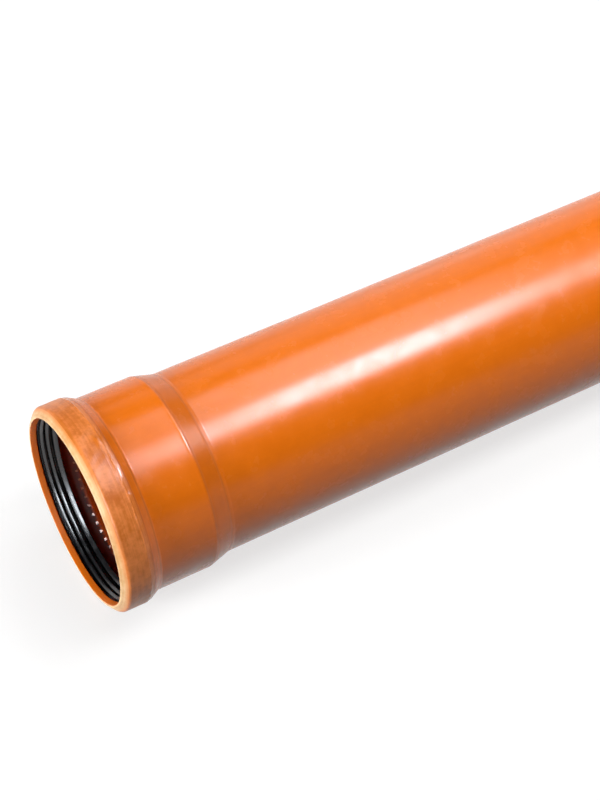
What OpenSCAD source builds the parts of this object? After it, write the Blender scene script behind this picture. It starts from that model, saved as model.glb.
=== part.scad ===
// Socketed sewer pipe of solid-wall PVC-U, 160 mm, with a rubber lip seal in its socket.
// Millimetres. The pipe lies on the floor with its mouth towards -X and its spigot towards +X,
// leaning on its bead and on the edge of its spigot. +Z is up.

/* [Barrel] */
// Outside diameter of the barrel and the spigot
pipe_d = 160; // [110:1:200]
// Wall thickness of the barrel
pipe_wall = 4.7; // [3:0.1:8]
// Laying length, from the end of the socket's straight wall to the spigot's end
laying_l = 1000; // [500:50:3000]
// Length of the bevel on the spigot
bevel_l = 9; // [4:0.5:15]
// Depth of the bevel on the spigot
bevel_t = 2.4; // [1:0.1:3]

/* [Socket] */
// Radial clearance between the socket's wall and the next pipe's spigot
socket_gap = 0.6; // [0.3:0.1:1.2]
// Wall thickness of the socket
socket_wall = 4.7; // [3:0.1:8]
// Depth of the socket, from the mouth to the end of its straight wall
socket_l = 86; // [60:1:120]
// Length of the cone that brings the socket down to the barrel
cone_l = 19; // [10:0.5:30]

/* [Ring groove] */
// Height of the bead over the socket's outside
bead_h = 5.9; // [3:0.1:9]
// Wall thickness over the groove
bead_wall = 4.3; // [3:0.1:6]
// Distance from the mouth at which the bead's crown begins
crown_from = 5; // [3:0.5:10]
// Distance from the mouth at which the bead's crown ends
crown_to = 23.3; // [18:0.1:28]
// Length of the easing behind the crown
ease_l = 4; // [2:0.1:6]
// Drop over the easing
ease_h = 0.55; // [0.2:0.05:1.5]
// Distance from the mouth to the foot of the bead's back slope
slope_to = 36.5; // [30:0.5:45]
// Width of the rim's flat face
rim_w = 1.8; // [1:0.1:4]
// Height of the rim's bevel, from the flat face up to the crown
rim_bevel_h = 7; // [3:0.1:9]
// Lead-in of the mouth: drop from the rim to the lip in front of the groove
lead_in = 1.4; // [0.5:0.1:3]
// Distance from the mouth to the edge of that lip
lip_l = 5.4; // [3:0.1:8]
// Lean of the groove's front wall
front_lean = 2; // [0:0.1:4]

/* [Lip seal] */
// Clearance between the seal and its seat
seat_gap = 0.2; // [0.1:0.05:0.5]
// Radius the innermost lip stands inside the spigot it seals on
squeeze = 2.4; // [1:0.1:4]
// Length of the sealing land on the innermost lip
land_l = 2.4; // [1.6:0.1:4]
// Distance from the mouth to the middle of the innermost lip
land_at = 19.8; // [17:0.1:21]
// Distance from the mouth to the tip of the first ridge
ridge_1_at = 9.4; // [8:0.1:10]
// Distance from the mouth to the tip of the second ridge
ridge_2_at = 13.9; // [13:0.1:15]
// Step in radius from one ridge to the next
ridge_step = 0.9; // [0.3:0.1:1.5]
// Depth of the furrow behind each ridge
furrow = 1.9; // [0.8:0.1:2.5]
// Distance from the mouth to the seal's back
seal_to = 23.9; // [22:0.1:24]

/* [Rounding] */
// Radius between the rim's bevel and the crown
crown_round = 5; // [1:0.5:6]
// Radius in the foot of the bead's back slope
foot_round = 7; // [2:0.5:10]
// Radius at both ends of the cone
cone_round = 4; // [1:0.5:8]
// Radius of the rim's own edges
rim_round = 0.6; // [0.2:0.1:0.8]
// Radius of the seal's ridges and furrows
ridge_round = 0.7; // [0.3:0.1:1]
// Straight steps in each rounded corner
round_steps = 5; // [3:1:12]

/* [Hidden] */
$fn = 96;

pipe_r = pipe_d / 2;
bore_r = pipe_r - pipe_wall;
socket_in_r = pipe_r + socket_gap;
socket_r = socket_in_r + socket_wall;
crown_r = socket_r + bead_h;
groove_r = crown_r - bead_wall;
rim_r = crown_r - rim_bevel_h;
mouth_r = rim_r - rim_w;
lip_r = mouth_r - lead_in;
ease_to = crown_to + ease_l;
total_l = socket_l + laying_l;
bevel_from = total_l - bevel_l;

// the inner corners of the two cones lie back from the outer ones, which keeps the wall even
cone_a = atan((socket_r - pipe_r) / cone_l);
cone_back = socket_wall * tan(cone_a / 2);
slope_a = atan((crown_r - ease_h - socket_r) / (slope_to - ease_to));
slope_back = socket_wall * tan(slope_a / 2);
slope_in_to = slope_to - slope_back;
groove_to = slope_in_to - (groove_r - socket_in_r) / tan(slope_a);
groove_from = lip_l + front_lean;

// the sealing lip, and the ridges in front of it
land_r = pipe_r - squeeze;
ridge_2_r = land_r + ridge_step;
ridge_1_r = ridge_2_r + ridge_step;
seal_r = groove_r - seat_gap;
nose_at = lip_l + seat_gap;

// the pipe leans on the back edge of the crown and on the spigot's edge
tilt = atan((crown_r - pipe_r) / (bevel_from - crown_to));
lift = crown_to * sin(tilt) + crown_r * cos(tilt);
middle = (total_l * cos(tilt) + (pipe_r - bevel_t - rim_r) * sin(tilt)) / 2;

// a corner [radius, distance, rounding] between its two neighbours, as the points of an arc
function unit(v) = v / norm(v);
function flat(p) = [p[0], p[1]];
function arc(a, p, b) =
    let (u = unit(flat(a) - flat(p)), v = unit(flat(b) - flat(p)),
         half = acos(u * v) / 2, sweep = 180 - 2 * half,
         c = flat(p) + unit(u + v) * p[2] / sin(half),
         from = flat(p) + u * p[2] / tan(half) - c,
         to = flat(p) + v * p[2] / tan(half) - c)
    [for (k = [0:round_steps])
        c + (sin((1 - k / round_steps) * sweep) * from + sin(k / round_steps * sweep) * to) / sin(sweep)];
function rounded(q) =
    let (n = len(q))
    [for (i = [0:n - 1]) each
        (q[i][2] > 0 ? arc(q[(i + n - 1) % n], q[i], q[(i + 1) % n]) : [flat(q[i])])];

// sections: radius first, then distance from the mouth, then rounding
pipe_section = [
    [mouth_r, 0, rim_round],
    [rim_r, 0, rim_round],
    [crown_r, crown_from, crown_round],
    [crown_r, crown_to, 0],
    [crown_r - ease_h, ease_to, 1.5],
    [socket_r, slope_to, foot_round],
    [socket_r, socket_l, cone_round],
    [pipe_r, socket_l + cone_l, cone_round],
    [pipe_r, bevel_from, 0],
    [pipe_r - bevel_t, total_l, 0.3],
    [bore_r, total_l, 0.3],
    [bore_r, socket_l + cone_l - cone_back, cone_round],
    [socket_in_r, socket_l - cone_back, cone_round],
    [socket_in_r, slope_in_to, 2],
    [groove_r, groove_to, 2],
    [groove_r, groove_from, 1.5],
    [lip_r, lip_l, rim_round],
];
seal_section = [
    [lip_r + 0.3, nose_at, ridge_round],
    [seal_r, groove_from + seat_gap, 2],
    [seal_r, seal_to, 2.2],
    [land_r + 4.5, seal_to - 0.6, 1],
    [land_r, land_at + land_l / 2, 0.4],
    [land_r, land_at - land_l / 2, 0.4],
    [ridge_2_r + furrow, (ridge_2_at + land_at - land_l / 2) / 2, ridge_round],
    [ridge_2_r, ridge_2_at, ridge_round],
    [ridge_1_r + furrow * 0.7, (ridge_1_at + ridge_2_at) / 2, ridge_round],
    [ridge_1_r, ridge_1_at, ridge_round],
];

// a section turned about the pipe's axis and laid down on the floor
module turned(section)
    translate([-middle, 0, lift])
        rotate([0, 90 + tilt, 0])
            rotate_extrude()
                polygon(rounded(section));

// barrel, socket and ring groove in one piece
module pipe() color([0.85, 0.42, 0.14]) turned(pipe_section);

// loose rubber ring in the groove
module seal_ring() color([0.07, 0.07, 0.08]) turned(seal_section);

pipe();
seal_ring();
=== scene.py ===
"""A socketed sewer pipe of orange-brown PVC with a black rubber lip seal, lying on a pale studio floor.

The pipe and its seal are turned from rounded sections about one axis, which dips a little from the
mouth to the spigot because the bead is thicker than the barrel. Lengths in the classes are millimetres;
meshes, lamps and the camera are in metres.
"""

from __future__ import annotations

import logging
import math
from dataclasses import dataclass, field, replace
from enum import Enum

import bpy
import numpy as np
from bpy.types import Material, Mesh, Node, Object
from bpy.types import NodeSocket as Socket
from mathutils import Matrix

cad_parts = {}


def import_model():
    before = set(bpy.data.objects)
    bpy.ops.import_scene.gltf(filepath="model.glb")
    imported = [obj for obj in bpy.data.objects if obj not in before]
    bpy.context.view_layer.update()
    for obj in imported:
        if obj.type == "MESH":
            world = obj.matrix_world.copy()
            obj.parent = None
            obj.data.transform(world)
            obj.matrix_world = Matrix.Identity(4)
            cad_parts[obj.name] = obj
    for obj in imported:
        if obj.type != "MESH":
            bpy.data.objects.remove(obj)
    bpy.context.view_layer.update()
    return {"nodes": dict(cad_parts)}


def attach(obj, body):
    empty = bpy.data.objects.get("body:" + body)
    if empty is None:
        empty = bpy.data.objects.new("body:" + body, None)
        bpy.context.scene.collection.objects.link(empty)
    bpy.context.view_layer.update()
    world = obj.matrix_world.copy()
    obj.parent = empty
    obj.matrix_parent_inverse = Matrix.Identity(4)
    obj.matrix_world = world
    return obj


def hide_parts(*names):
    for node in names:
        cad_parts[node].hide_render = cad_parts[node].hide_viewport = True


LOG = logging.getLogger("sewer_pipe")
MM = 0.001
FULL_TURN = 2.0 * math.pi

Rgb = tuple[float, float, float]
Point = tuple[float, float, float]
Span = tuple[float, float, float, float]
Array = np.ndarray

WHITE: Rgb = (1.0, 1.0, 1.0)
EVEN: Point = (1.0, 1.0, 1.0)
FADES: Span = (0.0, 1.0, 1.0, 0.0)


class Zone(Enum):
    """Kinds of surface on a turned piece, one material each."""

    SKIN = 0
    CROWN = 1
    CUT = 2
    BORE = 3
    EDGE = 4
    GROOVE = 5


class Reach(Enum):
    """What a lamp adds: everything, only highlights or only even light."""

    ALL = "all"
    GLOSS = "gloss"
    MATTE = "matte"


class Light(Enum):
    """Lamps of the studio."""

    KEY = "key_softbox"
    SHEEN = "long_gloss"
    STRIP = "short_gloss"
    CONE = "cone_gloss"
    TOP = "top_softbox"
    BACK = "back_softbox"
    SIDE = "mouth_softbox"
    GLINT = "seal_glint"


@dataclass(frozen=True)
class Grain:
    """A noise field in the part's own frame.

    Attributes:
        scale: the noise's scale, per metre.
        detail: octaves of the noise.
        rough: weight of the finer octaves.
        stretch: scale along X, Y and Z before the noise.
        low: level up to which the noise makes no patch.
        high: level from which it makes a full patch.
    """

    scale: float
    detail: float = 3.0
    rough: float = 0.55
    stretch: Point = EVEN
    low: float = 0.3
    high: float = 0.7


class Texture(Enum):
    """Noise fields of the finishes."""

    CLOUDS = Grain(60.0, 4.0)
    SPECKS = Grain(330.0)
    STREAKS = Grain(420.0, 4.0, 0.6)
    RUBBING = Grain(26.0, 6.0, 0.65, (0.5, 1.0, 1.0), 0.58, 0.74)
    SCRATCHES = Grain(640.0, 2.0, 0.4, (1.0, 0.22, 0.22), 0.74, 0.79)
    # patches of the bands of painted shade, and of the cut face's tint
    SHADE_AND_TINT_PATCHES = Grain(38.0, low=0.38, high=0.6)
    GREASE = Grain(70.0, 4.0)
    PORES = Grain(2400.0, 2.0)
    DUST = Grain(160.0, 5.0, 0.7, low=0.55, high=0.8)
    FIBRES = Grain(90.0, 4.0)


class NodeBench:
    """A material's node tree, with short ways to add and join nodes."""

    def __init__(self, name: str) -> None:
        """Starts an empty tree.

        Args:
            name: the material's name.
        """
        self.material = bpy.data.materials.new(name)
        self.material.use_nodes = True
        self.tree = self.material.node_tree
        self.tree.nodes.clear()
        self.output = self.add("ShaderNodeOutputMaterial")

    def add(self, kind: str, **settings: object) -> Node:
        """Adds a node.

        Args:
            kind: Blender's name for the node type.
            **settings: properties of the node.

        Returns:
            The new node.
        """
        node = self.tree.nodes.new(kind)
        for key, value in settings.items():
            setattr(node, key, value)
        return node

    def feed(self, socket: Socket, value: object) -> None:
        """Links an output to a socket, or sets the socket's own value.

        Args:
            socket: the input to fill.
            value: an output socket, a number or a tuple.
        """
        if isinstance(value, Socket):
            self.tree.links.new(value, socket)
        else:
            socket.default_value = value

    def math(self, operation: str, first: object, second: object = 0.0, clamp: bool = False) -> Socket:
        """Adds a Math node.

        Args:
            operation: the operation's name.
            first: a socket or a number.
            second: a socket or a number.
            clamp: whether the result stays between 0 and 1.

        Returns:
            The node's value.
        """
        node = self.add("ShaderNodeMath", operation=operation, use_clamp=clamp)
        self.feed(node.inputs[0], first)
        self.feed(node.inputs[1], second)
        return node.outputs[0]

    def weigh(self, *parts: tuple[Socket, float]) -> Socket:
        """Adds up values, each times its weight.

        Args:
            *parts: a value and its weight each.

        Returns:
            The sum.
        """
        terms = [self.math("MULTIPLY", value, weight) for value, weight in parts]
        total = terms[0]
        for term in terms[1:]:
            total = self.math("ADD", total, term)
        return total

    def spread(
        self, value: Socket, low: float, high: float, to_low: float = 0.0, to_high: float = 1.0
    ) -> Socket:
        """Maps a range of a value to another range, with a smooth step.

        Args:
            value: the value to map.
            low: where the range begins.
            high: where the range ends.
            to_low: the result at low.
            to_high: the result at high.

        Returns:
            The mapped value.
        """
        node = self.add("ShaderNodeMapRange", interpolation_type="SMOOTHSTEP")
        for socket, number in zip(node.inputs, (value, low, high, to_low, to_high)):
            self.feed(socket, number)
        return node.outputs[0]

    def blend(self, share: object, first: object, second: object) -> Socket:
        """Mixes two colours.

        Args:
            share: how much of the second colour.
            first: a socket or a colour.
            second: a socket or a colour.

        Returns:
            The mixed colour.
        """
        node = self.add("ShaderNodeMix", data_type="RGBA")
        self.feed(node.inputs["Factor"], share)
        for key, value in (("A", first), ("B", second)):
            socket = next(s for s in node.inputs if s.name == key and s.type == "RGBA")
            self.feed(socket, value if isinstance(value, Socket) else (*value, 1.0))
        return next(s for s in node.outputs if s.type == "RGBA")

    def noise(self, grain: Grain) -> Socket:
        """Adds a noise field.

        Args:
            grain: the field's settings.

        Returns:
            The noise, from 0 to 1.
        """
        place = self.add("ShaderNodeTexCoord")
        mapping = self.add("ShaderNodeMapping")
        mapping.inputs["Scale"].default_value = grain.stretch
        self.feed(mapping.inputs["Vector"], place.outputs["Object"])
        node = self.add("ShaderNodeTexNoise")
        node.inputs["Scale"].default_value = grain.scale
        node.inputs["Detail"].default_value = grain.detail
        node.inputs["Roughness"].default_value = grain.rough
        self.feed(node.inputs["Vector"], mapping.outputs["Vector"])
        return node.outputs["Fac"]

    def patches(self, texture: Texture, least: float = 0.0) -> Socket:
        """Pulls a noise field apart into patches, which rise from the least value to 1."""
        grain = texture.value
        return self.spread(self.noise(grain), grain.low, grain.high, least)

    def along(self) -> Socket:
        """Gives the distance from the mouth, in millimetres."""
        return self.add("ShaderNodeAttribute", attribute_name="along").outputs["Fac"]

    def bump(self, height: Socket) -> Socket:
        """Turns a height into a bent normal.

        Args:
            height: the height, in millimetres.

        Returns:
            The normal.
        """
        node = self.add("ShaderNodeBump")
        node.inputs["Strength"].default_value = 1.0
        node.inputs["Distance"].default_value = MM
        self.feed(node.inputs["Height"], height)
        return node.outputs["Normal"]

    def finish(self, colour: Socket, roughness: Socket, height: Socket, shine: float) -> Material:
        """Closes the tree with one Principled shader.

        Args:
            colour: base colour.
            roughness: roughness.
            height: height of the fine relief, in millimetres.
            shine: specular level, the same all over.

        Returns:
            The finished material.
        """
        shader = self.add("ShaderNodeBsdfPrincipled")
        self.feed(shader.inputs["Base Color"], colour)
        self.feed(shader.inputs["Roughness"], roughness)
        self.feed(shader.inputs["Normal"], self.bump(height))
        shader.inputs["Specular IOR Level"].default_value = shine
        self.feed(self.output.inputs["Surface"], shader.outputs["BSDF"])
        return self.material


@dataclass(frozen=True)
class ShadeAndTintBand:
    """A band round the pipe: painted shade, and on the cut face a fade into the moulded orange.

    Attributes:
        at: distance of its middle from the mouth.
        half: half its width.
        darkness: share of the band's colour in its middle.
        dulling: roughness added in its middle.
        flat: share of the half width that is evenly dark.
        dull_flat: share of the half width that is evenly dull.
    """

    at: float
    half: float
    darkness: float
    dulling: float = 0.0
    flat: float = 0.0
    dull_flat: float = 0.3


@dataclass(frozen=True)
class PlasticFinish:
    """Rigid PVC with tool streaks, faint cloudiness, rubbed patches, scratches and painted bands of shade
    and tint.

    Attributes:
        name: the material's name.
        colour: the plastic's colour.
        shade: its colour in darker clouds and streaks.
        worn: its colour where it is rubbed or scratched.
        roughness: roughness of the clean surface.
        rub: how much of it is rubbed, 1 for a little.
        shine: specular level.
        grain: stretch of the streaks along X, Y and Z.
        streak_depth: depth of the streaks.
        cloud_depth: depth of the cloudiness.
        speck_depth: depth of the specks, as a share of the cloudiness.
        ring_depth: depth of turned rings.
        ring_pitch: distance from ring to ring.
        shade_and_tint_bands: the bands of painted shade, and the cut face's band of tint.
        shade_and_tint: colour of the bands, painted shade on most finishes and the cut face's orange
            tint.
        cover: how much of the bands' colour is left between its patches.
        rubbed: tint and dulling of rubbed patches, for a rub of 1.
        scratched: tint and dulling of scratches, for a rub of 1, each with the most of it.
        tone_shares: weights of clouds, streaks and specks in the tone.
        tone_range: tones of the shade and of the plain colour.
        cloud_gloss: change of roughness in thin and in thick clouds.
    """

    name: str
    colour: Rgb
    shade: Rgb
    worn: Rgb
    roughness: float
    rub: float
    shine: float
    grain: Point
    streak_depth: float
    cloud_depth: float
    speck_depth: float = 0.25
    ring_depth: float = 0.0
    ring_pitch: float = 0.55
    shade_and_tint_bands: tuple[ShadeAndTintBand, ...] = ()
    shade_and_tint: Rgb = (0.26, 0.055, 0.006)
    cover: float = 0.25
    rubbed: tuple[float, float] = (0.12, 0.08)
    scratched: tuple[tuple[float, float], ...] = ((0.45, 0.5), (0.2, 0.2))
    tone_shares: tuple[float, float, float] = (0.5, 0.3, 0.2)
    tone_range: tuple[float, float] = (0.38, 0.62)
    cloud_gloss: tuple[float, float] = (-0.03, 0.04)

    def material(self) -> Material:
        """Builds the material.

        Returns:
            The PVC material.
        """
        bench = NodeBench(self.name)
        clouds = Texture.CLOUDS.value
        cloud = bench.noise(clouds)
        speck = bench.noise(Texture.SPECKS.value)
        streak = bench.noise(replace(Texture.STREAKS.value, stretch=self.grain))
        rubbed = bench.patches(Texture.RUBBING)
        scratch = bench.math("MULTIPLY", bench.patches(Texture.SCRATCHES), rubbed, True)

        tone = bench.weigh(*zip((cloud, streak, speck), self.tone_shares))
        rubbed_tint, rubbed_dulling = (share * self.rub for share in self.rubbed)
        scratch_tint, scratch_dulling = (min(most, share * self.rub) for share, most in self.scratched)
        base = bench.blend(bench.spread(tone, *self.tone_range), self.shade, self.colour)
        base = bench.blend(bench.math("MULTIPLY", scratch, scratch_tint, True), base, self.worn)
        base = bench.blend(bench.math("MULTIPLY", rubbed, rubbed_tint, True), base, self.worn)

        gloss = (self.roughness + change for change in self.cloud_gloss)
        roughness = bench.spread(cloud, clouds.low, clouds.high, *gloss)
        roughness = bench.math("ADD", bench.math("MULTIPLY", rubbed, rubbed_dulling), roughness)
        roughness = bench.math("ADD", roughness, bench.math("MULTIPLY", scratch, scratch_dulling), True)
        base, roughness = self.paint_shade_and_tint(bench, base, roughness)

        ring = bench.math("SINE", bench.math("MULTIPLY", bench.along(), FULL_TURN / self.ring_pitch))
        height = bench.weigh(
            (streak, self.streak_depth),
            (cloud, self.cloud_depth),
            (speck, self.speck_depth * self.cloud_depth),
            (ring, self.ring_depth),
        )
        return bench.finish(base, roughness, height, self.shine)

    def paint_shade_and_tint(self, bench: NodeBench, base: Socket, roughness: Socket) -> tuple[Socket, Socket]:
        """Paints the bands in: painted shade, and on the cut face a tint.

        Args:
            bench: the material's nodes.
            base: colour without the bands.
            roughness: roughness without the bands.

        Returns:
            Colour and roughness with the bands painted in.
        """
        patchy = bench.patches(Texture.SHADE_AND_TINT_PATCHES, self.cover)
        for painted_band in self.shade_and_tint_bands:
            half = painted_band.half
            away = bench.math("ABSOLUTE", bench.math("SUBTRACT", bench.along(), painted_band.at))
            share = bench.spread(away, painted_band.flat * half, half, painted_band.darkness, 0.0)
            # painted shade: the colour darkens towards the band's middle (on the cut face, a tint
            # instead)
            base = bench.blend(bench.math("MULTIPLY", patchy, share), base, self.shade_and_tint)
            dull = bench.spread(away, painted_band.dull_flat * half, half, painted_band.dulling, 0.0)
            roughness = bench.math("ADD", roughness, dull, True)
        return base, roughness


@dataclass(frozen=True)
class RubberFinish:
    """Black moulded rubber with a thin film of grease and a little dust."""

    name: str
    colour: Rgb
    dust: Rgb
    roughness: float
    shine: float
    dust_share: float = 0.35
    film_gloss: tuple[float, float] = (-0.08, 0.10)
    film_depth: float = 0.05
    pore_depth: float = 0.012

    def material(self) -> Material:
        """Builds the material.

        Returns:
            The rubber material.
        """
        bench = NodeBench(self.name)
        grease = Texture.GREASE.value
        film = bench.noise(grease)
        pores = bench.noise(Texture.PORES.value)
        dusty = bench.math("MULTIPLY", bench.patches(Texture.DUST), self.dust_share, True)
        base = bench.blend(dusty, self.colour, self.dust)
        gloss = (self.roughness + change for change in self.film_gloss)
        roughness = bench.spread(film, grease.low, grease.high, *gloss)
        height = bench.weigh((pores, self.pore_depth), (film, self.film_depth))
        return bench.finish(base, roughness, height, self.shine)


@dataclass(frozen=True)
class FloorFinish:
    """Grey studio paper that the camera and reflections see as white, with the pipe's shadow on it."""

    name: str = "studio_paper"
    colour: Rgb = (0.30, 0.30, 0.30)
    shade: Rgb = (0.29, 0.29, 0.29)
    bounce: Rgb = (0.02, 0.02, 0.02)
    glow: float = 0.72
    far_glow: float = 1.0
    far_from: float = 1.3
    far_to: float = 3.4

    def material(self) -> Material:
        """Builds the material.

        Returns:
            The paper material.
        """
        bench = NodeBench(self.name)
        path = bench.add("ShaderNodeLightPath")
        seen = bench.math("ADD", path.outputs["Is Camera Ray"], path.outputs["Is Glossy Ray"])
        seen = bench.math("ADD", seen, path.outputs["Is Transmission Ray"], True)
        base = bench.blend(bench.patches(Texture.FIBRES), self.shade, self.colour)
        paper = bench.add("ShaderNodeBsdfDiffuse")
        bench.feed(paper.inputs["Color"], bench.blend(seen, self.bounce, base))
        glow = bench.add("ShaderNodeEmission")
        away = bench.add("ShaderNodeVectorMath", operation="LENGTH")
        bench.feed(away.inputs[0], bench.add("ShaderNodeTexCoord").outputs["Object"])
        level = bench.spread(away.outputs["Value"], self.far_from, self.far_to, self.glow, self.far_glow)
        bench.feed(glow.inputs["Strength"], bench.math("MULTIPLY", seen, level))
        both = bench.add("ShaderNodeAddShader")
        bench.feed(both.inputs[0], paper.outputs["BSDF"])
        bench.feed(both.inputs[1], glow.outputs["Emission"])
        bench.feed(bench.output.inputs["Surface"], both.outputs["Shader"])
        return bench.material


@dataclass(frozen=True)
class Corner:
    """A corner of a turned section, by its distances from the axis and along it from the mouth.

    The stretch that leaves the corner lies in its zone and has rings no further apart than its step.
    """

    radius: float
    along: float
    rounding: float
    zone: Zone
    step: float = 0.8


@dataclass(frozen=True)
class Wave:
    """Random ripples around and along the pipe, the same on each run.

    Attributes:
        seed: start of the random draws.
        height: root mean square height.
        turns: fewest and most waves around the pipe.
        length: shortest and longest wave along the pipe.
        count: how many waves are added.
    """

    seed: int
    height: float
    turns: tuple[int, int]
    length: tuple[float, float]
    count: int

    def at(self, along: Array, angle: Array) -> Array:
        """Gives the ripple's height.

        Args:
            along: distances from the mouth, as a column.
            angle: angles about the axis, as a row.

        Returns:
            Heights, one for each ring and angle.
        """
        draw = np.random.default_rng(self.seed)
        total = np.zeros(np.broadcast(along, angle).shape)
        for _ in range(self.count):
            turns = draw.integers(self.turns[0], self.turns[1] + 1)
            pace = FULL_TURN / draw.uniform(*self.length)
            total += np.cos(turns * angle + pace * along + draw.uniform(0.0, FULL_TURN))
        return total * self.height * math.sqrt(2.0 / self.count)


@dataclass(frozen=True)
class Ridge:
    """A soft ridge or furrow, right round the pipe or at one place only.

    Attributes:
        at: distance of its top from the mouth.
        half: half its width along the pipe.
        height: height of its top, negative for a furrow.
        turn: angle of its top about the axis, from +Y towards up, in degrees.
        half_turn: half its width about the axis, in degrees.
    """

    at: float
    half: float
    height: float = 1.0
    turn: float = 0.0
    half_turn: float = math.inf

    def profile(self, along: Array, angle: Array) -> Array:
        """Gives its height at distances from the mouth, as a column, and angles, as a row."""
        beside = np.angle(np.exp(1j * (angle - math.radians(self.turn)))) / math.radians(self.half_turn)
        return np.exp(-(((along - self.at) / self.half) ** 2) - beside**2) * self.height


@dataclass
class Section:
    """A closed section, rounded at its corners and cut into short stretches.

    Its outside is also cut at the stations, where it runs along the axis by more than level. No cut
    leaves less than shortest, and corners with a half angle over straight, in radians, stay sharp.
    """

    corners: list[Corner]
    round_steps: int
    stations: tuple[float, ...] = ()
    shortest: float = 0.08
    level: float = 1.0
    straight: float = 1.57

    def arc(self, before: Corner, here: Corner, after: Corner) -> list[tuple[float, float]]:
        """Rounds one corner.

        Args:
            before: the corner before it.
            here: the corner.
            after: the corner after it.

        Returns:
            Points (along, radius) of the arc.
        """
        p = np.array((here.along, here.radius))
        u = np.array((before.along, before.radius)) - p
        v = np.array((after.along, after.radius)) - p
        u, v = u / np.linalg.norm(u), v / np.linalg.norm(v)
        half = math.acos(float(np.clip(u @ v, -1.0, 1.0))) / 2.0
        if here.rounding <= 0.0 or half > self.straight:
            return [(here.along, here.radius)]
        sweep = math.pi - 2.0 * half
        middle = (u + v) / np.linalg.norm(u + v)
        centre = p + middle * here.rounding / math.sin(half)
        start = p + u * here.rounding / math.tan(half) - centre
        end = p + v * here.rounding / math.tan(half) - centre
        shares = np.linspace(0.0, 1.0, self.round_steps + 1)[:, None]
        swing = np.sin((1.0 - shares) * sweep) * start + np.sin(shares * sweep) * end
        return [tuple(q) for q in centre + swing / math.sin(sweep)]

    def cuts(self, start: Array, end: Array, corner: Corner) -> list[float]:
        """Chooses where a straight stretch is cut.

        Args:
            start: where the stretch begins (along, radius).
            end: where it ends.
            corner: the corner that it leaves.

        Returns:
            Shares of the stretch, in order.
        """
        length = float(np.linalg.norm(end - start))
        run = end[0] - start[0]
        shares = list(np.linspace(0.0, 1.0, max(1, math.ceil(length / corner.step)) + 1)[1:-1])
        if corner.zone not in (Zone.BORE, Zone.GROOVE) and abs(run) > self.level:
            shares += [(station - start[0]) / run for station in self.stations]
        kept = [0.0]
        for share in sorted(t for t in shares if 0.0 < t < 1.0):
            if (share - kept[-1]) * length > self.shortest:
                kept.append(share)
        return kept[1:]

    def rings(self) -> tuple[Array, Array]:
        """Cuts the section into rings.

        Returns:
            Points (along, radius) in order, and the zone of the stretch after each.
        """
        befores = self.corners[-1:] + self.corners[:-1]
        afters = self.corners[1:] + self.corners[:1]
        arcs = [self.arc(*corners) for corners in zip(befores, self.corners, afters)]
        points: list[tuple[float, float]] = []
        zones: list[int] = []
        for before, corner, arc, next_arc in zip(befores, self.corners, arcs, arcs[1:] + arcs[:1]):
            for k, q in enumerate(arc):
                points.append(q)
                zones.append((before if 2 * k < len(arc) - 1 else corner).zone.value)
            start, end = np.array(arc[-1]), np.array(next_arc[0])
            for share in self.cuts(start, end, corner):
                points.append(tuple(start + share * (end - start)))
                zones.append(corner.zone.value)
        return np.array(points), np.array(zones)


@dataclass(frozen=True)
class Lie:
    """How the pipe lies: the middle of its mouth, in metres, and the dip of its axis, in radians."""

    mouth: Point
    tilt: float

    def place(self, along: Array, radius: Array, angle: Array) -> Array:
        """Puts points of the turned piece in the part's frame.

        Args:
            along: distances from the mouth, in millimetres.
            radius: distances from the axis, in millimetres.
            angle: angles about the axis, from +Y towards up.

        Returns:
            Points in metres.
        """
        axis = np.array((math.cos(self.tilt), 0.0, -math.sin(self.tilt)))
        up = np.array((math.sin(self.tilt), 0.0, math.cos(self.tilt)))
        side = np.array((0.0, 1.0, 0.0))
        ray = np.cos(angle)[..., None] * side + np.sin(angle)[..., None] * up
        return np.array(self.mouth) + MM * (along[..., None] * axis + radius[..., None] * ray)


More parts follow.
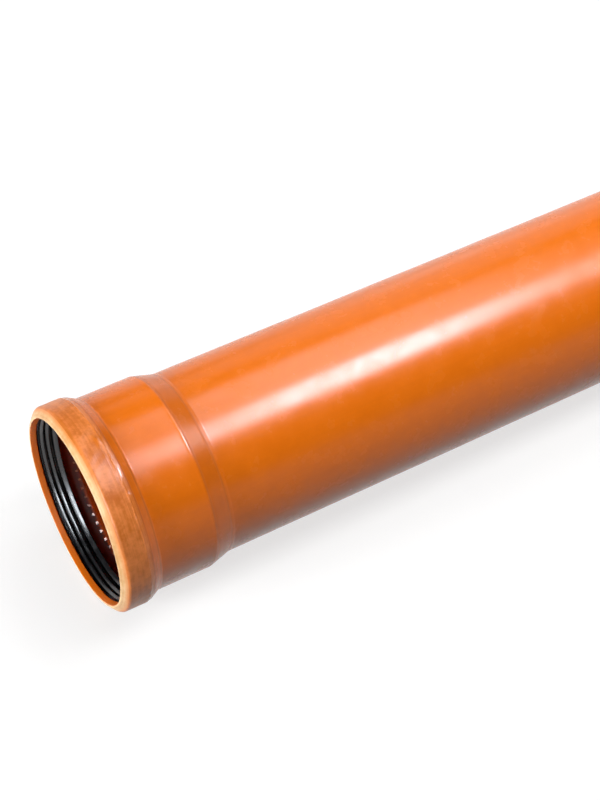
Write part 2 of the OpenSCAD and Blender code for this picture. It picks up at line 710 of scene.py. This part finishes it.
@dataclass
class TurnedPiece:
    """A piece turned about the pipe's axis from one section."""

    name: str
    node: str
    slot: str
    lie: Lie
    sides: int = 252

    def section(self) -> Section:
        """Gives the section to turn."""
        raise NotImplementedError

    def relief(self, along: Array, radius: Array, angle: Array) -> Array:
        """Gives the fine relief over the section, in millimetres along its normal."""
        raise NotImplementedError

    def materials(self) -> list[Material]:
        """Gives one material for each zone, in order."""
        raise NotImplementedError

    def touch_up(self, mesh: Mesh, points: Array) -> None:
        """Changes single faces of the finished mesh; most pieces have none to change."""

    def normals(self, points: Array) -> Array:
        """Gives the section's outward normals.

        Args:
            points: points (along, radius) in order.

        Returns:
            Unit normals (along, radius), one for each point.
        """
        after = np.roll(points, -1, axis=0)
        run = after - np.roll(points, 1, axis=0)
        area = np.sum(points[:, 0] * after[:, 1] - points[:, 1] * after[:, 0])
        normal = np.stack((run[:, 1], -run[:, 0]), 1) * (1.0 if area > 0.0 else -1.0)
        return normal / np.linalg.norm(normal, axis=1)[:, None]

    def build(self) -> Object:
        """Turns the section, adds its relief, dresses it and lets it ride on the part.

        Returns:
            The finished object.
        """
        points, zones = self.section().rings()
        normal = self.normals(points)
        angle = np.linspace(0.0, FULL_TURN, self.sides, endpoint=False)[None, :]
        lift = self.relief(points[:, :1], points[:, 1:], angle)
        along = points[:, :1] + normal[:, :1] * lift
        radius = points[:, 1:] + normal[:, 1:] * lift
        spot = self.lie.place(along, radius, np.broadcast_to(angle, along.shape))
        mesh = self.mesh(spot.reshape(-1, 3), len(points), zones)
        distance = mesh.attributes.new("along", "FLOAT", "POINT")
        distance.data.foreach_set("value", along.astype(np.float32).ravel())
        self.unroll(mesh, points)
        self.touch_up(mesh, points)
        piece = bpy.data.objects.new(self.name, mesh)
        bpy.context.scene.collection.objects.link(piece)
        for material in self.materials():
            mesh.materials.append(material)
        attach(piece, "root")
        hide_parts(self.node)
        return piece

    def mesh(self, spots: Array, rings: int, zones: Array) -> Mesh:
        """Joins rings of points into one closed skin.

        Args:
            spots: points, ring after ring.
            rings: how many rings there are.
            zones: the zone of the strip after each ring.

        Returns:
            The mesh, smooth, with a material index on each face.
        """
        ring = np.arange(rings)[:, None]
        turn = np.arange(self.sides)[None, :]
        after, beside = (ring + 1) % rings, (turn + 1) % self.sides
        corners = ((ring, turn), (ring, beside), (after, beside), (after, turn))
        quads = np.stack([a * self.sides + b for a, b in corners], -1)
        mesh = bpy.data.meshes.new(self.name)
        mesh.from_pydata(spots.tolist(), [], quads.reshape(-1, 4).tolist())
        mesh.polygons.foreach_set("material_index", np.repeat(zones, self.sides).astype(np.int32))
        mesh.polygons.foreach_set("use_smooth", np.ones(rings * self.sides, bool))
        mesh.update()
        return mesh

    def unroll(self, mesh: Mesh, points: Array) -> None:
        """Lays the skin out flat, round the section one way and round the axis the other.

        Args:
            mesh: the mesh, with its faces in ring order.
            points: the section's points.
        """
        run = np.linalg.norm(np.roll(points, -1, axis=0) - points, axis=1)
        start = np.concatenate(((0.0,), np.cumsum(run)))
        share = start / start[-1]
        turn = np.arange(self.sides + 1) / self.sides
        v0, v1 = share[:-1, None], share[1:, None]
        u0, u1 = turn[None, :-1], turn[None, 1:]
        corners = ((u0, v0), (u1, v0), (u1, v1), (u0, v1))
        flat = np.stack([np.stack(np.broadcast_arrays(u, v), -1) for u, v in corners], 2)
        layer = mesh.uv_layers.new(name="unrolled")
        layer.data.foreach_set("uv", flat.astype(np.float32).ravel())


@dataclass
class DrainPipe(TurnedPiece):
    """Barrel, socket and ring groove: one extruded and belled length of PVC."""

    pipe_r: float = 80.0
    bore_r: float = 75.3
    total_l: float = 1086.0
    bevel_l: float = 9.0
    bevel_t: float = 2.4
    socket_in_r: float = 80.6
    socket_r: float = 85.3
    socket_l: float = 86.0
    cone_l: float = 19.0
    crown_r: float = 91.2
    groove_r: float = 86.9
    crown_from: float = 5.0
    crown_to: float = 23.3
    ease_l: float = 4.0
    ease_h: float = 0.55
    slope_to: float = 36.5
    rim_r: float = 84.2
    mouth_r: float = 82.4
    lip_r: float = 81.0
    lip_l: float = 5.4
    front_lean: float = 2.0
    # the rim's bevel is a cut face up to this radius
    cut_to: float = 89.6
    rim_round: float = 0.6
    crown_round: float = 3.5
    edge_round: float = 0.4
    ease_round: float = 0.8
    foot_round: float = 2.0
    cone_round: float = 2.5
    end_round: float = 0.3
    bore_round: float = 4.0
    groove_round: tuple[float, float, float] = (1.5, 2.0, 1.2)
    round_steps: int = 6
    marks: tuple[Ridge, ...] = (
        Ridge(1.15, 0.45, -0.20),
        Ridge(20.4, 0.30, 0.06),
        Ridge(24.0, 0.60, 0.14),
        Ridge(27.1, 0.60, -0.16),
        Ridge(35.4, 1.00, -0.12),
        Ridge(84.6, 0.90, 0.10),
        Ridge(87.2, 1.00, -0.10),
        Ridge(101.9, 1.00, -0.10),
        Ridge(104.6, 0.90, 0.10),
    )
    # where each mark is cut into rings, in halves of its width
    mark_cuts: tuple[float, ...] = (-2.0, -1.4, -0.9, -0.45, 0.0, 0.45, 0.9, 1.4, 2.0)
    # a span's relief fades in over its first two distances and out over its last two
    mottled: Span = (5.0, 8.0, 24.0, 30.0)
    crown_mottle: Wave = Wave(5, 0.055, (12, 80), (5.0, 26.0), 40)
    ease_band: Ridge = Ridge(25.0, 2.0)
    ease_mottle: Wave = Wave(17, 0.08, (10, 70), (5.0, 20.0), 36)
    burr_band: Ridge = Ridge(23.6, 0.9)
    edge_burr: Wave = Wave(11, 0.16, (20, 90), (6.0, 30.0), 36)
    burr_range: tuple[float, float] = (-0.1, 0.4)
    nicks: tuple[Ridge, ...] = (
        Ridge(21.8, 2.4, 1.15, turn=98.6, half_turn=2.4),
        Ridge(26.0, 1.8, 0.75, turn=131.0, half_turn=1.2),
    )
    # on this span the bead lies back by relief_depth, which makes room for its marks
    sunk: Span = (1.0, 5.0, 29.0, 36.0)
    relief_depth: float = 0.60
    hauled: Span = (110.0, 170.0, 930.0, 1050.0)
    haul_off: Wave = Wave(23, 0.035, (0, 5), (70.0, 420.0), 20)
    # pips stand where a wave with pip_count crests about the axis rises above pip_crest
    pip_count: int = 63
    pip_crest: float = 0.9
    pip_at: float = 33.4
    pip_half: float = 1.3
    pip_h: float = 0.50

    @classmethod
    def rest(cls) -> Lie:
        """Works out how the pipe lies, on the back edge of its crown and the edge of its spigot's bevel.

        Returns:
            The pipe's lie, with the part's middle over the frame's origin.
        """
        tilt = math.atan((cls.crown_r - cls.pipe_r) / (cls.total_l - cls.bevel_l - cls.crown_to))
        lift = cls.crown_to * math.sin(tilt) + cls.crown_r * math.cos(tilt)
        end_drop = (cls.pipe_r - cls.bevel_t - cls.rim_r) * math.sin(tilt)
        middle = (cls.total_l * math.cos(tilt) + end_drop) / 2.0
        return Lie((-MM * middle, 0.0, MM * lift), tilt)

    def section(self) -> Section:
        """Gives the pipe's section.

        Returns:
            The rounded section, from the mouth along the outside and back along the bore.
        """
        wall = self.socket_r - self.socket_in_r
        cone_back = wall * math.tan(math.atan((self.socket_r - self.pipe_r) / self.cone_l) / 2.0)
        ease_to = self.crown_to + self.ease_l
        slope_rise = (self.crown_r - self.ease_h - self.socket_r) / (self.slope_to - ease_to)
        slope_in_to = self.slope_to - wall * math.tan(math.atan(slope_rise) / 2.0)
        groove_to = slope_in_to - (self.groove_r - self.socket_in_r) / slope_rise
        cone_to = self.socket_l + self.cone_l
        cut_at = self.crown_from * (self.cut_to - self.rim_r) / (self.crown_r - self.rim_r)
        front_round, back_round, wall_round = self.groove_round
        skin, crown, cut, bore, edge, groove = Zone
        corners = [
            Corner(self.mouth_r, 0.0, self.rim_round, cut),
            Corner(self.rim_r, 0.0, self.rim_round, cut, step=0.6),
            Corner(self.cut_to, cut_at, 0.0, crown),
            Corner(self.crown_r, self.crown_from, self.crown_round, crown, step=1.2),
            Corner(self.crown_r, self.crown_to, self.edge_round, edge, step=0.9),
            Corner(self.crown_r - self.ease_h, ease_to, self.ease_round, skin, step=1.0),
            Corner(self.socket_r, self.slope_to, self.foot_round, skin, step=2.6),
            Corner(self.socket_r, self.socket_l, self.cone_round, skin, step=2.0),
            Corner(self.pipe_r, cone_to, self.cone_round, skin, step=16.0),
            Corner(self.pipe_r, self.total_l - self.bevel_l, self.edge_round, cut, step=1.2),
            Corner(self.pipe_r - self.bevel_t, self.total_l, self.end_round, cut, step=1.0),
            Corner(self.bore_r, self.total_l, self.end_round, bore, step=40.0),
            Corner(self.bore_r, cone_to - cone_back, self.bore_round, bore, step=3.0),
            Corner(self.socket_in_r, self.socket_l - cone_back, self.bore_round, bore, step=4.0),
            Corner(self.socket_in_r, slope_in_to, wall_round, groove),
            Corner(self.groove_r, groove_to, back_round, groove, step=3.0),
            Corner(self.groove_r, self.lip_l + self.front_lean, front_round, groove, step=2.0),
            Corner(self.lip_r, self.lip_l, self.rim_round, skin, step=0.9),
        ]
        stations = tuple(mark.at + k * mark.half for mark in self.marks for k in self.mark_cuts)
        return Section(corners, self.round_steps, stations)

    def outside(self, along: Array, radius: Array) -> Array:
        """Tells the pipe's outside from its inside, by a line through the middle of the wall.

        Args:
            along: distances from the mouth.
            radius: distances from the axis.

        Returns:
            True for each point on the outside.
        """
        socket = (self.socket_l, self.socket_l + self.cone_l)
        stations = (0.0, self.lip_l + self.front_lean, self.crown_to, self.slope_to, *socket)
        rim, bead = self.mouth_r + self.rim_r, self.groove_r + self.crown_r
        wall, barrel = self.socket_in_r + self.socket_r, self.bore_r + self.pipe_r
        return 2.0 * radius > np.interp(along, stations, (rim, bead, bead, wall, wall, barrel))

    def on_pips(self, along: Array, radius: Array) -> Array:
        """Tells which points lie on the ring of pips behind the groove."""
        return (np.abs(along - self.pip_at) < self.pip_half) & ~self.outside(along, radius)

    def relief(self, along: Array, radius: Array, angle: Array) -> Array:
        """Gives the marks of the forming tools and of the haul-off, the nicks and the pips.

        Args:
            along: distances from the mouth, as a column.
            radius: distances from the axis, as a column.
            angle: angles about the axis, as a row.

        Returns:
            Heights in millimetres, one for each ring and angle.
        """
        outside = self.outside(along, radius)
        bead = outside * np.interp(along, self.mottled, FADES)
        height = bead * self.crown_mottle.at(along, angle)
        height += bead * self.ease_band.profile(along, angle) * self.ease_mottle.at(along, angle)
        for ridge in self.marks + self.nicks:
            height += ridge.profile(along, angle) * outside
        burr = np.clip(self.edge_burr.at(along, angle), *self.burr_range)
        height += self.burr_band.profile(along, angle) * outside * burr
        height -= outside * np.interp(along, self.sunk, FADES) * self.relief_depth
        height += np.interp(along, self.hauled, FADES) * self.haul_off.at(along, angle)
        pips = self.on_pips(along, radius) & (np.cos(self.pip_count * angle) > self.pip_crest)
        return height + pips * self.pip_h

    def touch_up(self, mesh: Mesh, points: Array) -> None:
        """Gives the pips behind the groove one flat, burnished facet each.

        Args:
            mesh: the mesh, with its faces in ring order.
            points: the section's points.
        """
        raised = self.on_pips(points[:, 0], points[:, 1])
        step = self.sides // self.pip_count
        for ring in np.flatnonzero(raised & np.roll(raised, -1)):
            for turn in range(step - 1, self.sides, step):
                face = mesh.polygons[int(ring) * self.sides + turn]
                face.use_smooth = False
                face.material_index = Zone.EDGE.value

    def materials(self) -> list[Material]:
        """Gives the PVC's materials: skin, formed bead, cut faces, bore, burnished edge and groove.

        Returns:
            One material for each zone.
        """
        axial, around = (0.02, 1.0, 1.0), (1.0, 0.05, 0.05)
        skin = PlasticFinish(
            "pvc_skin", (0.82, 0.172, 0.0040), (0.78, 0.160, 0.0035), (0.86, 0.36, 0.14),
            roughness=0.245, rub=0.6, shine=0.30, grain=axial, streak_depth=0.004, cloud_depth=0.006,
            # painted shade: the bands darken the lead-in, the furrows and back slope behind the bead, the
            # cone's creases and the cone, which faces away from the light
            shade_and_tint_bands=(
                ShadeAndTintBand(4.0, 5.0, 0.32, 0.1),
                ShadeAndTintBand(27.8, 1.7, 0.46, 0.1),
                ShadeAndTintBand(30.5, 7.0, 0.35),
                ShadeAndTintBand(34.7, 1.9, 0.46, 0.1),
                ShadeAndTintBand(87.0, 1.6, 0.16, 0.08),
                ShadeAndTintBand(94.5, 10.0, 0.27, flat=0.7),
                ShadeAndTintBand(101.8, 1.6, 0.18, 0.08),
            ),
            cover=0.7,
        )
        formed_bead = PlasticFinish(
            "pvc_formed_bead", (0.79, 0.238, 0.054), (0.56, 0.132, 0.010), (0.84, 0.40, 0.22),
            roughness=0.36, rub=2.2, shine=0.30, grain=around, streak_depth=0.02, cloud_depth=0.06,
            # painted shade on the bead's front, beside the rim
            shade_and_tint_bands=(ShadeAndTintBand(4.8, 2.6, 0.60),), shade_and_tint=(0.42, 0.12, 0.02),
        )
        cut_face = PlasticFinish(
            "pvc_cut_face", (0.74, 0.50, 0.265), (0.56, 0.30, 0.110), (0.78, 0.58, 0.36),
            roughness=0.42, rub=1.2, shine=0.5, grain=around, streak_depth=0.02, cloud_depth=0.02,
            # the first band is painted shade in the furrow of the rim face; the second is the cut face's
            # own fade into orange at its outer edge
            ring_depth=0.010, shade_and_tint_bands=(ShadeAndTintBand(1.15, 0.5, 0.30), ShadeAndTintBand(4.4, 3.2, 1.0)),
            shade_and_tint=(0.66, 0.20, 0.03), cover=0.75,
        )
        bore = PlasticFinish(
            "pvc_bore", (0.80, 0.166, 0.0040), (0.75, 0.152, 0.0035), (0.84, 0.34, 0.12),
            roughness=0.28, rub=0.8, shine=0.18, grain=axial, streak_depth=0.006, cloud_depth=0.008,
            # painted shade: the bore is darkened from the mouth to about 90 mm in
            shade_and_tint_bands=(ShadeAndTintBand(30.0, 60.0, 1.0),), shade_and_tint=(0.38, 0.054, 0.0028), cover=1.0,
        )
        burnished_edge = PlasticFinish(
            "pvc_burnished_edge", (0.76, 0.215, 0.045), (0.64, 0.158, 0.022), (0.84, 0.42, 0.24),
            roughness=0.20, rub=1.2, shine=0.36, grain=around, streak_depth=0.01, cloud_depth=0.02,
            # painted shade in the furrow behind the burnished edge
            shade_and_tint_bands=(ShadeAndTintBand(27.3, 1.2, 0.35),),
        )
        # the groove's dark colour is painted shade
        groove = PlasticFinish(
            "pvc_groove_painted_shade", (0.38, 0.055, 0.0030), (0.33, 0.047, 0.0025), (0.40, 0.12, 0.04),
            roughness=0.66, rub=0.8, shine=0.10, grain=around, streak_depth=0.02, cloud_depth=0.02,
        )
        finishes = (skin, formed_bead, cut_face, bore, burnished_edge, groove)
        return [finish.material() for finish in finishes]


@dataclass(frozen=True)
class Rib:
    """A rib of the seal: its foot and its tip, each by its distances from the axis and the mouth."""

    foot_r: float
    foot: float
    tip_r: float
    tip: float

    def crown(self, height: float) -> tuple[float, float]:
        """Finds the middle of its crowned top.

        Args:
            height: how far the middle stands over the line from foot to tip.

        Returns:
            Distances from the axis and from the mouth.
        """
        drop, run = self.foot_r - self.tip_r, self.tip - self.foot
        bulge = height / math.hypot(drop, run)
        return (self.tip_r + self.foot_r) / 2.0 - bulge * run, (self.tip + self.foot) / 2.0 - bulge * drop


@dataclass
class LipSeal(TurnedPiece):
    """The rubber ring in the groove: a seat and three ribs, the last of which is the sealing lip."""

    seal_r: float = 86.7
    seal_to: float = 23.9
    seat_from: float = 7.6
    seat_round: float = 1.5
    heel_round: float = 2.2
    nose_r: float = 83.4
    nose_at: float = 6.6
    nose_round: float = 0.5
    ribs: tuple[Rib, ...] = (
        Rib(81.3, 8.3, 79.6, 10.6),
        Rib(80.8, 13.1, 79.0, 15.5),
        Rib(79.6, 19.1, 77.6, 22.3),
    )
    rib_crown: float = 0.20
    rib_round: float = 6.0
    tip_round: float = 0.22
    foot_round: float = 0.3
    furrow_r: float = 84.0
    furrow_lean: float = 0.1
    furrow_w: float = 1.9
    furrow_round: float = 0.5
    nose_furrow_w: float = 1.2
    land_to: float = 22.9
    land_round: float = 0.2
    back_r: float = 82.1
    back_lean: float = 0.3
    round_steps: int = 7
    slack: Wave = Wave(41, 0.05, (2, 9), (12.0, 60.0), 16)
    # the lips are soft inside soft_from_r, and fully so when soft_over deeper
    soft_from_r: float = 82.0
    soft_over: float = 4.0

    def section(self) -> Section:
        """Gives the seal's section.

        Returns:
            The rounded section, from the nose over the seat and back under the lip.
        """
        skin = Zone.SKIN
        corners = [
            Corner(self.nose_r, self.nose_at, self.nose_round, skin, step=1.2),
            Corner(self.seal_r, self.seat_from, self.seat_round, skin, step=3.0),
            Corner(self.seal_r, self.seal_to, self.heel_round, skin, step=1.5),
            Corner(self.back_r, self.seal_to - self.back_lean, self.nose_round, skin),
            Corner(self.ribs[-1].tip_r, self.land_to, self.land_round, skin),
        ]
        for rib in reversed(self.ribs):
            furrow_to = rib.foot - self.furrow_lean
            furrow_from = rib.foot - self.furrow_w
            corners += [
                Corner(rib.tip_r, rib.tip, self.tip_round, skin, step=0.5),
                Corner(*rib.crown(self.rib_crown), self.rib_round, skin, step=0.5),
                Corner(rib.foot_r, rib.foot, self.foot_round, skin),
                Corner(self.furrow_r, furrow_to, self.furrow_round, skin),
                Corner(self.furrow_r, furrow_from, self.furrow_round, skin),
            ]
        nose_furrow = self.ribs[0].foot - self.nose_furrow_w
        corners[-1] = Corner(self.furrow_r, nose_furrow, self.foot_round, skin)
        return Section(corners, self.round_steps)

    def relief(self, along: Array, radius: Array, angle: Array) -> Array:
        """Gives the slack of the soft lips, in millimetres along the section's normal."""
        soft = np.clip((self.soft_from_r - radius) / self.soft_over, 0.0, 1.0)
        return soft * self.slack.at(along, angle)

    def materials(self) -> list[Material]:
        """Gives the seal's one material, a black rubber."""
        black, grey = (0.008, 0.008, 0.009), (0.035, 0.036, 0.040)
        return [RubberFinish("seal_rubber", black, grey, roughness=0.27, shine=0.7).material()]


@dataclass(frozen=True)
class Softbox:
    """A flat lamp that faces a point on the pipe.

    It stands on the bearing from its aim, at a distance in metres. Its face has a size in metres and a
    roll about the bearing in degrees, and its power is in watts.
    """

    lamp: Light
    aim: Point
    bearing: Point
    distance: float
    size: tuple[float, float]
    power: float
    reach: Reach = Reach.ALL
    roll: float = 0.0
    tint: Rgb = WHITE

    def build(self) -> None:
        """Adds the lamp to the scene."""
        data = bpy.data.lights.new(self.lamp.value, "AREA")
        data.shape = "RECTANGLE"
        data.size, data.size_y = self.size
        data.energy = self.power
        data.color = self.tint
        lamp = bpy.data.objects.new(self.lamp.value, data)
        bearing = np.array(self.bearing) / np.linalg.norm(self.bearing)
        spot = np.array(self.aim) + self.distance * bearing
        across = np.cross((0.0, 1.0, 0.0), bearing)
        across /= np.linalg.norm(across)
        turn = math.radians(self.roll)
        across = math.cos(turn) * across + math.sin(turn) * np.cross(bearing, across)
        matrix = np.eye(4)
        matrix[:3, :] = np.stack((across, np.cross(bearing, across), bearing, spot), 1)
        lamp.matrix_world = Matrix(matrix.tolist())
        lamp.visible_diffuse = self.reach is not Reach.GLOSS
        lamp.visible_glossy = self.reach is not Reach.MATTE
        lamp.visible_camera = False
        bpy.context.scene.collection.objects.link(lamp)


@dataclass
class Studio:
    """Floor, lamps, world and camera; angles are in degrees, the lens and its sensor in millimetres."""

    floor_r: float = 60.0
    floor_z: float = -0.0001
    floor_sides: int = 96
    room_level: float = 0.02
    horizon_level: float = 1.0
    # sine of the elevation at which the pale horizon has faded into the room
    horizon_to: float = 0.20
    camera_at: Point = (-0.873136, -0.924703, 1.291732)
    azimuth: float = -30.4311
    elevation: float = 47.8093
    lens: float = 85.108
    sensor: float = 36.0
    clip_end: float = 100.0
    boxes: list[Softbox] = field(default_factory=list)

    def floor(self) -> None:
        """Lays the pale floor, wide enough to reach the horizon."""
        turns = [FULL_TURN * k / self.floor_sides for k in range(self.floor_sides)]
        spots = [(self.floor_r * math.cos(a), self.floor_r * math.sin(a), self.floor_z) for a in turns]
        mesh = bpy.data.meshes.new("floor")
        mesh.from_pydata(spots, [], [tuple(range(self.floor_sides))])
        mesh.materials.append(FloorFinish().material())
        floor = bpy.data.objects.new("floor", mesh)
        bpy.context.scene.collection.objects.link(floor)

    def world(self) -> None:
        """Sets the dim light of the room, which is pale near the horizon."""
        world = bpy.data.worlds.new("studio_room")
        world.use_nodes = True
        tree = world.node_tree
        ground = tree.nodes["Background"]
        ground.inputs["Color"].default_value = (*WHITE, 1.0)
        place = tree.nodes.new("ShaderNodeTexCoord")
        split = tree.nodes.new("ShaderNodeSeparateXYZ")
        fade = tree.nodes.new("ShaderNodeMapRange")
        fade.interpolation_type = "SMOOTHSTEP"
        levels = (0.0, self.horizon_to, self.horizon_level, self.room_level)
        for socket, number in zip(fade.inputs[1:5], levels):
            socket.default_value = number
        tree.links.new(place.outputs["Generated"], split.inputs["Vector"])
        tree.links.new(split.outputs["Z"], fade.inputs["Value"])
        tree.links.new(fade.outputs["Result"], ground.inputs["Strength"])
        bpy.context.scene.world = world

    def camera(self) -> None:
        """Puts the camera at the photograph's viewing angle."""
        data = bpy.data.cameras.new("camera")
        data.lens = self.lens
        data.sensor_width = self.sensor
        data.sensor_fit = "AUTO"
        data.clip_end = self.clip_end
        camera = bpy.data.objects.new("camera", data)
        camera.location = self.camera_at
        camera.rotation_euler = (math.radians(90.0 - self.elevation), 0.0, math.radians(self.azimuth))
        bpy.context.scene.collection.objects.link(camera)
        bpy.context.scene.camera = camera

    def build(self) -> None:
        """Builds the whole studio."""
        self.floor()
        self.world()
        for softbox in self.boxes:
            softbox.build()
        self.camera()
        bpy.context.scene.view_settings.view_transform = "Standard"


def softboxes() -> list[Softbox]:
    """Sets out the lamps round the pipe.

    Returns:
        An even key light, glosses on barrel and cone, top and back softboxes, and an even light and a
        glint for the mouth.
    """
    barrel = (-0.256, -0.035, 0.160)
    cone = (-0.448, -0.034, 0.165)
    mouth = (-0.543, 0.0, 0.091)
    lilac, ice = (0.92, 0.83, 1.0), (0.86, 0.93, 1.0)
    gloss, matte = Reach.GLOSS, Reach.MATTE
    return [
        Softbox(Light.KEY, barrel, (0.280, -0.285, 0.915), 2.3, (2.00, 0.85), 42.0, matte),
        Softbox(Light.SHEEN, barrel, (0.314, -0.199, 0.928), 2.3, (0.84, 0.85), 11.7, gloss),
        Softbox(Light.STRIP, barrel, (0.389, -0.202, 0.898), 2.3, (0.44, 0.84), 63.0, gloss, tint=lilac),
        Softbox(Light.CONE, cone, (0.727, -0.080, 0.680), 2.3, (0.50, 0.85), 12.5, gloss),
        Softbox(Light.TOP, barrel, (0.360, 0.310, 0.880), 2.45, (0.80, 1.40), 20.0),
        Softbox(Light.BACK, barrel, (0.465, 0.825, 0.322), 2.6, (1.60, 1.30), 6.5),
        Softbox(Light.SIDE, mouth, (-0.970, 0.000, 0.243), 3.0, (1.00, 1.00), 140.0, matte),
        Softbox(Light.GLINT, mouth, (-0.735, -0.450, 0.490), 1.6, (0.60, 1.25), 54.0, gloss, 132.0, ice),
    ]


def main() -> None:
    """Builds the pipe, its seal and the studio in order."""
    logging.basicConfig(level=logging.INFO, format="%(name)s: %(message)s")
    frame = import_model()
    LOG.info("frame: nodes %s", ", ".join(sorted(frame["nodes"])))
    lie = DrainPipe.rest()
    pipe = DrainPipe("drain_pipe", "pipe", "pvc", lie)
    seal = LipSeal("lip_seal", "seal_ring", "seal", lie)
    for piece in (pipe, seal):
        made = piece.build()
        LOG.info("%s: %d faces", made.name, len(made.data.polygons))
    Studio(boxes=softboxes()).build()
    LOG.info("studio: floor, lamps and camera")


if __name__ == "__main__":
    main()
